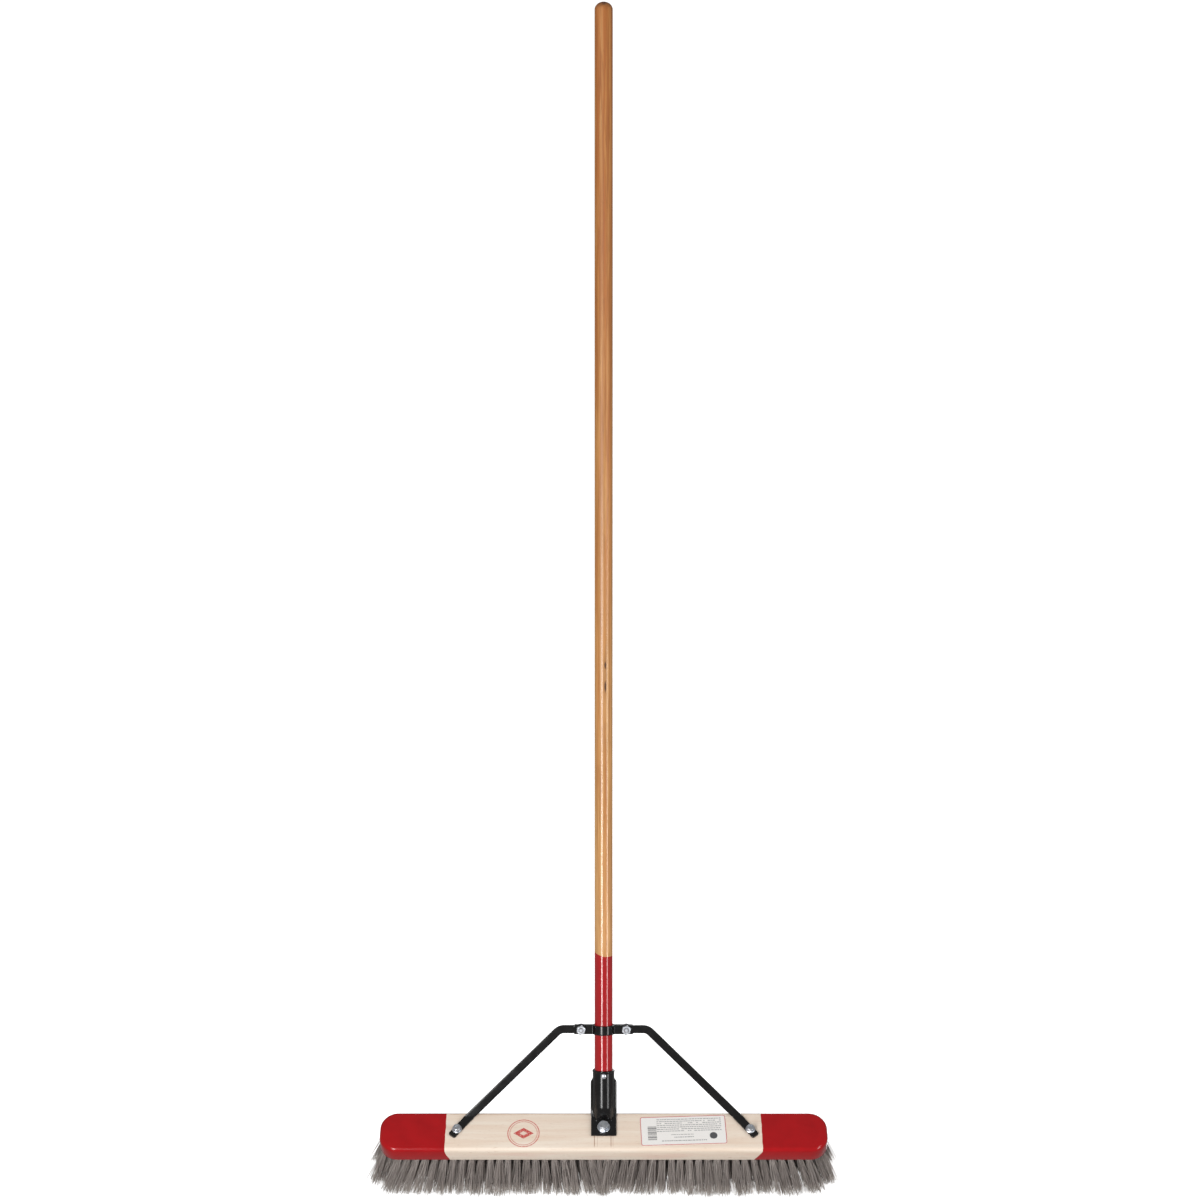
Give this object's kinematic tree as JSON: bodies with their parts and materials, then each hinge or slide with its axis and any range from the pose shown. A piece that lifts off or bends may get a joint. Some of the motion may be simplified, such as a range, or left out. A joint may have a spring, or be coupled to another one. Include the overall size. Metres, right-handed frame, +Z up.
{
  "type": "push broom",
  "caption": "Push broom: wide hardwood block with red ends and grey bristles, a long wooden handle in a bolted steel socket, and a black steel brace clamped to the handle.",
  "frame": {"origin": "middle of the sweeping face, the plane of the bristle tips under the middle of the block", "axes": "+Z up away from the floor, +X along the block, +Y towards the back, the way the handle leans"},
  "size_m": [0.6498, 1.0872, 1.2383],
  "materials": {
    "handle_wood": "clear lacquered hardwood, lower end dipped in glossy red paint",
    "block_wood": "satin lacquered pale hardwood, both ends dipped in glossy red paint",
    "black_steel": "semi-gloss black enamel on pressed steel",
    "zinc_steel": "bright zinc plated",
    "label_paper": "coated paper label",
    "bristle_fibre": "flagged synthetic fibre, paler at the split tips"
  },
  "bodies": {
    "root": {"handle": "handle_wood", "handle_screw": "zinc_steel", "socket": "black_steel", "socket_bolt": "zinc_steel", "socket_bolt_washer": "zinc_steel", "block_nut": "zinc_steel", "block_nut_washer": "zinc_steel", "clamp_front_strap": "black_steel", "clamp_back_strap": "black_steel", "clamp_bolt_left": "zinc_steel", "clamp_bolt_right": "zinc_steel", "clamp_nut_left": "zinc_steel", "clamp_nut_right": "zinc_steel", "brace_arm_left": "black_steel", "brace_arm_right": "black_steel", "brace_screw_left": "zinc_steel", "brace_screw_right": "zinc_steel", "broom_block": "block_wood", "label": "label_paper", "bristle_row_1": "bristle_fibre", "bristle_row_2": "bristle_fibre", "bristle_row_3": "bristle_fibre", "bristle_row_4": "bristle_fibre", "bristle_row_5": "bristle_fibre"}
  },
  "joints": []
}
